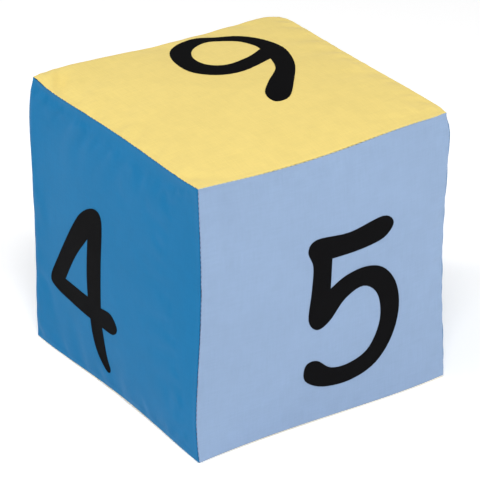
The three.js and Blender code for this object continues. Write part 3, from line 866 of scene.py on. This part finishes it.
def simulate_cover():
    """Blows the cover up from inside. Every seam is held, and the cloth beside it is a little too long."""
    at = np.linspace(-1, 1, SIM_CELLS + 1)
    u, v = np.meshgrid(at, at, indexing="ij")
    inside_seams = np.maximum(np.abs(u), np.abs(v)) < SIM_HELD
    rng = np.random.default_rng(SEED)
    starts = []
    weights = []
    quads = []
    for number, face in enumerate(FACES.values()):
        points = smooth_form(face, u, v)
        points += (rng.normal(0, SIM_NOISE, u.shape) * inside_seams)[..., None] * face.normal
        slack = np.zeros_like(u)
        for side_u, side_v in BEYOND.tolist():
            gap = HALF * (1 - u * side_u - v * side_v)
            run = (v if side_u else u) * HALF
            uneven = SLACK_MEAN + SLACK_SWING * wander(int(rng.integers(1000)), run)
            slack = np.maximum(slack, np.exp(-gap / SIM_REACH) * np.clip(uneven, SLACK_LEAST, 1))
        starts.append(points.reshape(-1, 3))
        weights.append(slack.ravel())
        quads += (np.array(grid_quads(SIM_CELLS)) + number * u.size).tolist()
    start = np.concatenate(starts)
    cover = make_mesh("cover_trial", start + CENTRE, quads, bpy.data.materials.new("trial"))
    held = np.tile(~inside_seams.ravel(), len(FACES))
    pins = cover.vertex_groups.new(name="held")
    pins.add(np.flatnonzero(held).tolist(), 1.0, "REPLACE")
    steady = cover.vertex_groups.new(name="steady")
    for place, weight in enumerate(np.concatenate(weights)):
        steady.add([place], 1 - float(weight), "REPLACE")
    cloth = cover.modifiers.new("trial", "CLOTH")
    settings = cloth.settings
    settings.quality = 6
    settings.mass = 0.15
    settings.tension_stiffness = 40
    settings.compression_stiffness = 40
    settings.shear_stiffness = 20
    settings.bending_stiffness = 8
    settings.vertex_group_mass = "held"
    settings.vertex_group_shrink = "steady"
    settings.shrink_min = -SIM_GROWTH
    settings.shrink_max = 0.0
    settings.use_pressure = True
    settings.uniform_pressure_force = SIM_PRESSURE
    settings.effector_weights.gravity = 0
    cloth.collision_settings.use_collision = False
    cloth.point_cache.frame_start = 1
    cloth.point_cache.frame_end = SIM_FRAMES
    for number in range(1, SIM_FRAMES + 1):
        bpy.context.scene.frame_set(number)
    graph = bpy.context.evaluated_depsgraph_get()
    blown = cover.evaluated_get(graph).data
    ended = np.zeros(len(blown.vertices) * 3)
    blown.vertices.foreach_get("co", ended)
    moved = ended.reshape(-1, 3) / MM - CENTRE - start
    bpy.context.scene.frame_set(1)
    bpy.data.objects.remove(cover)
    for number, face in enumerate(FACES.values()):
        grid = moved[number * u.size : (number + 1) * u.size].reshape(*u.shape, 3)
        raised = (grid @ face.normal)[..., None] * face.normal
        detail = softened(raised, SIM_FINE) - softened(raised, SIM_BROAD)
        size = np.linalg.norm(detail, axis=-1, keepdims=True)
        detail *= FOLLOWS[face.cloth] * SIM_CAP / (SIM_CAP + size)
        from_u = u.copy()
        from_v = v.copy()
        for side_u, side_v in BEYOND.tolist():
            gap = 1 - u * side_u - v * side_v
            lean = SLANTS.get((face.name, side_u, side_v), 0) * gap * np.exp(-gap * HALF / SLANT_FADE)
            from_u += lean * abs(side_v)
            from_v += lean * abs(side_u)
        detail = between(detail, from_u, from_v)
        edge = HALF * (1 - np.maximum(np.abs(u), np.abs(v)))
        depth = (GATHER_REST + GATHER * np.exp(-edge / GATHER_REACH)) * np.clip(edge / HELD_BY_SEAM, 0, 1)
        near_floor = np.exp(-(1 + v) * HALF / GATHER_REACH) * (face.up[2] > 0) + (face.normal[2] < 0)
        depth *= 1 - FLOOR_CALM * near_floor
        if face.zip_side:
            beyond_topstitch = HALF * (1 - u * face.zip_side) - TOPSTITCH_BACK
            depth *= np.clip(beyond_topstitch / ZIP_CALM_REACH, 0, 1)
        swell[face.name] = detail * depth[..., None]


# ---- cover panels


SEAM_BACK = 1 + math.sqrt(2)  # from the sharp edge to where the roll starts, over the roll's radius
SEAM_TURN = 135
UNDER_SIDE = {"back": 1.0, "turn": 155}  # a side panel turns under at the floor, and hides the seam
UNDER_LOWEST = {"back": 3.03, "turn": 135}
HEM_TURN = 180


def border(face, side_u, side_v):
    """Where a panel's border starts to turn into its seam, over the roll's radius, and how far it turns."""
    outward = side_u * face.right + side_v * face.up
    if face.name == "one":
        return UNDER_LOWEST["back"], UNDER_LOWEST["turn"]
    if outward[2] < 0:
        return UNDER_SIDE["back"], UNDER_SIDE["turn"]
    return SEAM_BACK, SEAM_TURN


def zip_opening(height):
    """How open the zip edge is at a height, from 0 to 1."""
    share = np.clip((height - OPENING_LOW + OPENING_BLEND / 2) / OPENING_BLEND, 0, 1)
    share = share * np.clip((OPENING_HIGH + OPENING_BLEND / 2 - height) / OPENING_BLEND, 0, 1)
    return share * share * (3 - 2 * share)


def panel_grid(face):
    """u and v of the panel's grid, and how open its zip side is at each row."""
    at = np.linspace(-1, 1, CELLS + 1)
    ends = {}
    for side_u, side_v in BEYOND.tolist():
        ends[side_u, side_v] = 1 - border(face, side_u, side_v)[0] * SEAM_ROLL / HALF
    share = (at + 1) / 2
    v = np.repeat((share * ends[0, 1] - (1 - share) * ends[0, -1])[None, :], CELLS + 1, axis=0)
    high = np.full(CELLS + 1, ends[1, 0])
    low = np.full(CELLS + 1, -ends[-1, 0])
    opened = np.zeros(CELLS + 1)
    if face.zip_side:
        opened = zip_opening(HALF + v[0] * HALF)
        lip = 1 - (LIP_BACK + LIP_ROLL) / HALF
        if face.zip_side > 0:
            high = high + opened * (lip - high)
        else:
            low = low + opened * (-lip - low)
    share = share[:, None]
    u = low[None, :] * (1 - share) + high[None, :] * share
    return u, v, opened


def border_loop():
    """The grid places round a panel's border, anticlockwise."""
    loop = [(i, 0) for i in range(CELLS)]
    loop += [(CELLS, j) for j in range(CELLS)]
    loop += [(i, CELLS) for i in range(CELLS, 0, -1)]
    loop += [(0, j) for j in range(CELLS, 0, -1)]
    return np.array(loop).T


def border_turns(face, side_u, side_v, opened):
    """Radius, angle and outward direction of the roll at each place round the border."""
    angle = np.zeros(len(side_u))
    sides = np.zeros(len(side_u))
    for step_u, step_v in BEYOND.tolist():
        on_side = (side_u == step_u) if step_u else (side_v == step_v)
        angle += np.where(on_side, border(face, step_u, step_v)[1], 0)
        sides += on_side
    angle /= sides
    hemmed = np.where(side_u == face.zip_side, opened, 0) if face.zip_side else np.zeros(len(side_u))
    radius = SEAM_ROLL + hemmed * (LIP_ROLL - SEAM_ROLL)
    angle += hemmed * (HEM_TURN - angle)
    outward = side_u[:, None] * face.right + side_v[:, None] * face.up
    return radius, np.radians(angle), outward


def make_panel(face, material):
    u, v, opened = panel_grid(face)
    points = cloth_surface(face, u, v)
    count = CELLS + 1
    index = np.arange(count * count).reshape(count, count)
    polygons = grid_quads(CELLS)
    normals = surface_normal(face, u, v)
    rows, columns = border_loop()
    edge = points[rows, columns]
    normal = normals[rows, columns]
    side_u = (rows == CELLS).astype(int) - (rows == 0)
    side_v = (columns == CELLS).astype(int) - (columns == 0)
    radius, turn, outward = border_turns(face, side_u, side_v, opened[columns])
    all_points = [points.reshape(-1, 3)]
    flat = [np.stack([u * HALF, v * HALF], -1).reshape(-1, 2)]
    edge_flat = np.stack([u[rows, columns], v[rows, columns]], -1) * HALF
    previous = index[rows, columns]
    total = count * count
    size = len(rows)
    for step in range(1, ROLL_STEPS + FLANGE_STEPS + 1):
        angle = turn * min(step / ROLL_STEPS, 1)
        length = SEAM_ALLOWANCE * max(step - ROLL_STEPS, 0) / FLANGE_STEPS
        out = radius * np.sin(angle) + length * np.cos(turn)
        down = radius * (1 - np.cos(angle)) + length * np.sin(turn)
        all_points.append(edge + out[:, None] * outward - down[:, None] * normal)
        run = radius * angle + length
        flat.append(edge_flat + np.stack([side_u, side_v], -1) * run[:, None])
        current = np.arange(total, total + size)
        for k in range(size):
            m = (k + 1) % size
            polygons.append([previous[m], previous[k], current[k], current[m]])
        previous = current
        total += size
    placed = np.concatenate(all_points) + CENTRE
    piece = make_mesh(f"cover_panel_{face.name}", placed, polygons, material, np.concatenate(flat))
    thicken(piece, CLOTH)
    settle(piece, "cover_and_core", f"cover_{face.cloth}", f"panel_{face.name}")


def thicken(piece, thickness):
    """Gives a skin its thickness inwards, as one closed mesh."""
    solid = piece.modifiers.new("cloth", "SOLIDIFY")
    solid.thickness = thickness * MM
    solid.offset = -1
    solid.use_even_offset = False
    graph = bpy.context.evaluated_depsgraph_get()
    thick = piece.evaluated_get(graph)
    mesh = bpy.data.meshes.new_from_object(thick, preserve_all_data_layers=True, depsgraph=graph)
    piece.modifiers.clear()
    piece.data = mesh


# ---- numerals


def smooth_loop(stretches):
    """A closed outline of smooth curves, one through the points of each stretch."""
    loop = []
    for stretch in stretches:
        given = np.array(stretch, float)
        padded = np.concatenate([given[:1], given, given[-1:]])
        for i in range(1, len(padded) - 2):
            before, start, end, after = padded[i - 1 : i + 3]
            for k in range(CURVE_STEPS):
                t = k / CURVE_STEPS
                square = (2 * before - 5 * start + 4 * end - after) * t * t
                cube = (3 * start - before - 3 * end + after) * t**3
                loop.append(0.5 * (2 * start + (end - before) * t + square + cube))
    return np.array(loop)


def inside(loop, points):
    """Which points lie inside a closed outline."""
    start = loop[None]
    end = np.roll(loop, -1, axis=0)[None]
    x = points[:, None, 0]
    y = points[:, None, 1]
    crosses = (start[..., 1] > y) != (end[..., 1] > y)
    rise = end[..., 1] - start[..., 1]
    rise = np.where(rise == 0, 1, rise)
    at = start[..., 0] + (y - start[..., 1]) * (end[..., 0] - start[..., 0]) / rise
    return (crosses & (x < at)).sum(1) % 2 == 1


def make_numeral(face, material):
    shape = NUMERALS[face.name]
    loops = [smooth_loop(shape["outline"])]
    if "hole" in shape:
        loops.append(smooth_loop(shape["hole"]))
    if face.turned:
        loops = [-loop for loop in loops]
    low = loops[0].min(0)
    high = loops[0].max(0)
    xs, ys = np.meshgrid(np.arange(low[0], high[0], FILM_STEP), np.arange(low[1], high[1], FILM_STEP))
    grid = np.stack([xs.ravel(), ys.ravel()], -1)
    keep = inside(loops[0], grid)
    for hole in loops[1:]:
        keep &= ~inside(hole, grid)
    ink_edge = np.concatenate(loops)
    gaps = np.sqrt(((grid[:, None] - ink_edge[None]) ** 2).sum(-1)).min(1)
    grid = grid[keep & (gaps > FILM_ROOM)]
    flat = np.concatenate([*loops, grid])
    edges = []
    start = 0
    for loop in loops:
        size = len(loop)
        edges += [(start + i, start + (i + 1) % size) for i in range(size)]
        start += size
    triangulated = delaunay_2d_cdt([Vector(p) for p in flat], edges, [], 0, 1e-5)
    flat = np.array([tuple(p) for p in triangulated[0]])
    corners = np.array([list(triangle) for triangle in triangulated[2]])
    middles = flat[corners].mean(1)
    inked = inside(loops[0], middles)
    for hole in loops[1:]:
        inked &= ~inside(hole, middles)
    triangles = []
    for triangle in corners[inked].tolist():
        a, b, c = flat[triangle]
        turning = (b[0] - a[0]) * (c[1] - a[1]) - (b[1] - a[1]) * (c[0] - a[0])
        triangles.append(triangle if turning > 0 else triangle[::-1])
    u, v = place_on_face(face, flat[:, 0], flat[:, 1])
    on_cloth = cloth_surface(face, u, v)
    normal = surface_normal(face, u, v)
    base = on_cloth + FILM_LIFT * normal
    top = base + FILM * normal
    count = len(flat)
    polygons = [list(t) for t in triangles]
    polygons += [[index + count for index in t[::-1]] for t in triangles]
    border = {}
    for t in triangles:
        for i in range(3):
            border[t[i], t[(i + 1) % 3]] = True
    for a, b in list(border):
        if (b, a) not in border:
            polygons.append([b, a, a + count, b + count])
    points = np.concatenate([top, base]) + CENTRE
    piece = make_mesh(f"numeral_film_{face.name}", points, polygons, material, np.concatenate([flat, flat]))
    sharpen(piece, FILM_CREASE)
    settle(piece, "cover_and_core", "numeral_film", f"numeral_{face.name}")


def sharpen(piece, degrees):
    """Keeps edges sharper than an angle as true creases in a smooth-shaded mesh."""
    limit = math.radians(degrees)
    data = bmesh.new()
    data.from_mesh(piece.data)
    for edge in data.edges:
        edge.smooth = len(edge.link_faces) == 2 and edge.calc_face_angle(0) < limit
    data.to_mesh(piece.data)
    data.free()


# ---- stitches


def seam_line(a, b, s):
    """The sharp seam line between two faces at s, from the middle of the block."""
    axis = np.abs(np.cross(a.normal, b.normal))
    points = (a.normal + b.normal) * HALF + s[..., None] * HALF * axis + seam_shift(a, b, s)
    return points + tip_shift(points)


def stitch_row(line, out, low, high):
    """Single stitches along a line. line and out give the place and the outward direction at a distance."""
    parts = []
    count = int((high - low) // STITCH_PITCH)
    spare = (high - low - count * STITCH_PITCH) / 2
    rng = np.random.default_rng(SEED + int(1000 * (high - low)))
    for number in range(count):
        start = low + spare + number * STITCH_PITCH + rng.uniform(-STITCH_STRAY, STITCH_STRAY)
        along = np.linspace(start, start + STITCH_LENGTH, STITCH_POINTS)
        share = np.linspace(-1, 1, STITCH_POINTS)
        rise = STITCH_TOP * (1 - share**4) - STITCH_SINK * share**4
        points = line(along)
        outward = out(along)
        direction = points[-1] - points[0]
        sideways = np.cross(direction / np.linalg.norm(direction), outward)
        slant = STITCH_SLANT * share + rng.uniform(-STITCH_STRAY_ASIDE, STITCH_STRAY_ASIDE)
        path = points + rise[:, None] * outward + slant[:, None] * sideways
        parts.append(tube(path, THREAD / 2, outward[0]))
    return joined(parts)


def make_seam_stitches(a, b, name, nodes, low, high, material, rise):
    inward = -(a.normal + b.normal) / math.sqrt(2)
    valley = (1 + math.sqrt(2)) * SEAM_ROLL

    def line(along):
        return seam_line(a, b, along / HALF) + (valley - rise) * inward

    def out(along):
        return np.repeat(-inward[None], len(along), 0)

    points, polygons = stitch_row(line, out, low, high)
    piece = make_mesh(name, points + CENTRE, polygons, material)
    settle(piece, "cover_and_core", "thread", *nodes)


def make_topstitch(face, name, node, material):
    across = face.zip_side * (HALF - TOPSTITCH_BACK) / HALF

    def line(along):
        u = np.full(len(along), across)
        return cloth_surface(face, u, along / HALF)

    def out(along):
        return surface_normal(face, np.full(len(along), across), along / HALF)

    points, polygons = stitch_row(line, out, OPENING_LOW - HALF, OPENING_HIGH - HALF)
    piece = make_mesh(name, points + CENTRE, polygons, material)
    settle(piece, "cover_and_core", "thread", node)


# ---- zip


def from_zip(points):
    """Points of the zip's own frame, in the die's frame: +Y is out of the zip edge, +X towards face three."""
    points = np.asarray(points, float)
    x = points[..., 0]
    y = points[..., 1]
    root = math.sqrt(0.5)
    return np.stack([HALF + root * (x + y), HALF + root * (y - x), points[..., 2]], -1)


def parting(z):
    share = np.clip((z - SLIDER_LOW) / PARTING_LENGTH, 0, 1)
    return CHAIN_PART * share * share * (3 - 2 * share)


def make_tape(side_name, side, material):
    heights = np.arange(OPENING_LOW - TAPE_END, OPENING_HIGH + TAPE_END + 0.1, TAPE_STEP)
    inner = CHAIN_GAP + CHAIN_WIDTH + 0.3
    profile = [(inner, 0, 0), (inner + 0.9, 0, 0.9), (3.9, 0, 1.8), (TAPE_BEND - 0.5, 0, 2.6)]
    profile += [(TAPE_BEND, -0.2, 3.2), (TAPE_BEND + 0.8, -0.9, 4.2)]
    profile += [(TAPE_BEND + step, -step, 3.2 + 1.414 * step) for step in (2, 3, 4, 5, TAPE_TAIL)]
    points = []
    flat = []
    for z in heights:
        ripple = 0.06 * math.sin(z / 3.1) + 0.04 * math.sin(z / 1.7 + 1)
        for x, y, run in profile:
            nearness = max(0, 1 - run / 3.2)
            shift = float(parting(z)) * nearness
            points.append((side * (x + shift), y - TAPE_DEPTH + TAPE_THICK / 2 + ripple, z))
            flat.append((run, z))
    width = len(profile)
    polygons = []
    for i in range(len(heights) - 1):
        for j in range(width - 1):
            quad = [i * width + j, i * width + j + 1, (i + 1) * width + j + 1, (i + 1) * width + j]
            polygons.append(quad[::-1] if side > 0 else quad)
    piece = make_mesh(f"zip_tape_{side_name}_cloth", from_zip(points), polygons, material, flat)
    thicken(piece, TAPE_THICK)
    settle(piece, "cover_and_core", "zip_tape", f"zip_tape_{side_name}")


def make_coil(side_name, side, material):
    """One half of the chain: a nylon filament wound to a flattened coil along the tape's edge."""
    turns = (CHAIN_HIGH - CHAIN_LOW - 2 * COIL_END) / COIL_PITCH
    angle = np.arange(int(turns * COIL_STEPS)) * 2 * math.pi / COIL_STEPS
    z = CHAIN_LOW + COIL_END + (angle / (2 * math.pi) + (0.5 if side > 0 else 0)) * COIL_PITCH
    reach = (CHAIN_WIDTH - FILAMENT) / 2
    x = CHAIN_GAP + CHAIN_WIDTH / 2 + parting(z) + reach * np.cos(angle)
    y = -TAPE_DEPTH + reach * COIL_FLATNESS * np.sin(angle)
    path = np.stack([side * x, y, np.clip(z, CHAIN_LOW, CHAIN_HIGH)], -1)
    points, polygons = tube(path, FILAMENT / 2, (0, 0, 1))
    piece = make_mesh(f"zip_coil_{side_name}", from_zip(points), polygons, material)
    settle(piece, "cover_and_core", "zip_chain", f"zip_chain_{side_name}")


def finish_metal(names, material):
    """The CAD's own metal pieces, with their material."""
    for name in names:
        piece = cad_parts[name]
        piece.data.materials.clear()
        piece.data.materials.append(material)


# ---- foam


def make_foam(material):
    """The foam block: cut square, rounded by its cover along the edges and swelling a little in each face."""
    reach = HALF - FOAM_INSET
    core = reach - FOAM_ROUND
    at = np.linspace(-1, 1, FOAM_CELLS + 1)
    grid_u, grid_v = np.meshgrid(at, at, indexing="ij")
    parts = []
    for face in FACES.values():
        square = grid_u[..., None] * face.right + grid_v[..., None] * face.up + face.normal
        spread = np.sign(square) * np.abs(square) ** FOAM_SPACING * reach
        middle = np.clip(spread, -core, core)
        away = spread - middle
        away /= np.maximum(np.linalg.norm(away, axis=-1, keepdims=True), 1e-9)
        points = middle + FOAM_ROUND * away
        crown = max(face.crown, 0) * (1 - grid_u**2) * (1 - grid_v**2)
        points = points + crown[..., None] * face.normal
        parts.append((points.reshape(-1, 3), grid_quads(FOAM_CELLS)))
    points, polygons = joined(parts)
    piece = make_mesh("foam_block", points + CENTRE, polygons, material)
    data = bmesh.new()
    data.from_mesh(piece.data)
    bmesh.ops.remove_doubles(data, verts=data.verts, dist=0.01 * MM)
    data.to_mesh(piece.data)
    data.free()
    settle(piece, "cover_and_core", "foam", "foam_core")


# ---- floor

FLOOR_REACH = 9000.0
FLOOR_GLOW = 0.3
SHADE_BLEND = 8.0  # the glow comes in over this distance under the die's border


def make_floor():
    """A pale floor that glows a little, as a lit studio floor does, but not in the shade beneath the die."""
    nodes = Nodes("floor")
    place = nodes.place(uv=False)
    grain = nodes.noise(place, 30.0, 3.0)
    axes = nodes.add("ShaderNodeSeparateXYZ", {0: place}).node
    away_x = nodes.math("ABSOLUTE", axes.outputs[0])
    away_y = nodes.math("ABSOLUTE", axes.outputs[1])
    away = nodes.math("MAXIMUM", away_x, away_y)
    shade = {0: away, 1: (HALF - SHADE_BLEND) * MM, 2: HALF * MM, 3: 0.0, 4: FLOOR_GLOW}
    glow = nodes.add("ShaderNodeMapRange", shade, clamp=True)
    white = nodes.shade(linear(250, 250, 250), nodes.spread(grain, 0.997, 1.003))
    material = nodes.finish(
        Base_Color=white,
        Roughness=0.95,
        Specular_IOR_Level=0.0,
        Emission_Color=(1, 1, 1, 1),
        Emission_Strength=glow,
    )
    corners = [(x * FLOOR_REACH, y * FLOOR_REACH, 0) for x, y in ((-1, -1), (1, -1), (1, 1), (-1, 1))]
    piece = make_mesh("floor", corners, [[0, 1, 2, 3]], material)


# ---- the whole

make_camera()
make_studio()
make_floor()

simulate_cover()

make_foam(foam_sponge())

# the second colour of each cotton is the painted shade between its threads
COTTON = {
    "yellow": cotton("cotton_yellow", linear(243, 220, 134), linear(228, 195, 100)),
    "blue": cotton("cotton_blue", linear(25, 118, 170), linear(16, 89, 140)),
    "light_blue": cotton("cotton_light_blue", linear(149, 172, 202), linear(122, 145, 186)),
}
FILM_MATERIAL = numeral_film()
for face in FACES.values():
    make_panel(face, COTTON[face.cloth])
    make_numeral(face, FILM_MATERIAL)

NAVY = sewing_thread("thread_navy", linear(22, 42, 84))
PALE = sewing_thread("thread_pale", linear(214, 210, 178))
END_CLEARANCE = 1.5
OPENING_CLEARANCE = 1.0
for first, second in SEAMS:
    if (first, second) == ("two", "three"):
        continue
    a, b = FACES[first], FACES[second]
    label = "_".join(sorted((first, second), key=list(FACES).index))
    shade, rise = (NAVY, NAVY_RISE) if "blue" in (a.cloth, b.cloth) else (PALE, PALE_RISE)
    reach = HALF - END_CLEARANCE
    make_seam_stitches(a, b, f"stitches_{label}", [f"seam_{label}"], -reach, reach, shade, rise)

TWO, THREE = FACES["two"], FACES["three"]
for part, low, high in (
    ("lower", END_CLEARANCE - HALF, OPENING_LOW - HALF - OPENING_CLEARANCE),
    ("upper", OPENING_HIGH - HALF + OPENING_CLEARANCE, HALF - END_CLEARANCE),
):
    make_seam_stitches(
        TWO, THREE, f"stitches_zip_edge_{part}", [f"zip_edge_seam_{part}"], low, high, NAVY, NAVY_RISE
    )

TAPE_MATERIAL = zip_tape_cloth()
COIL_MATERIAL = zip_coil_nylon()
for side_name, side, face in (("left", -1, TWO), ("right", 1, THREE)):
    make_topstitch(face, f"topstitch_{side_name}", f"zip_topstitch_{side_name}", NAVY)
    make_tape(side_name, side, TAPE_MATERIAL)
    make_coil(side_name, side, COIL_MATERIAL)
finish_metal(
    ["zip_slider", "zip_pull", "zip_bottom_stop", "zip_top_stop_left", "zip_top_stop_right"], zip_metal()
)
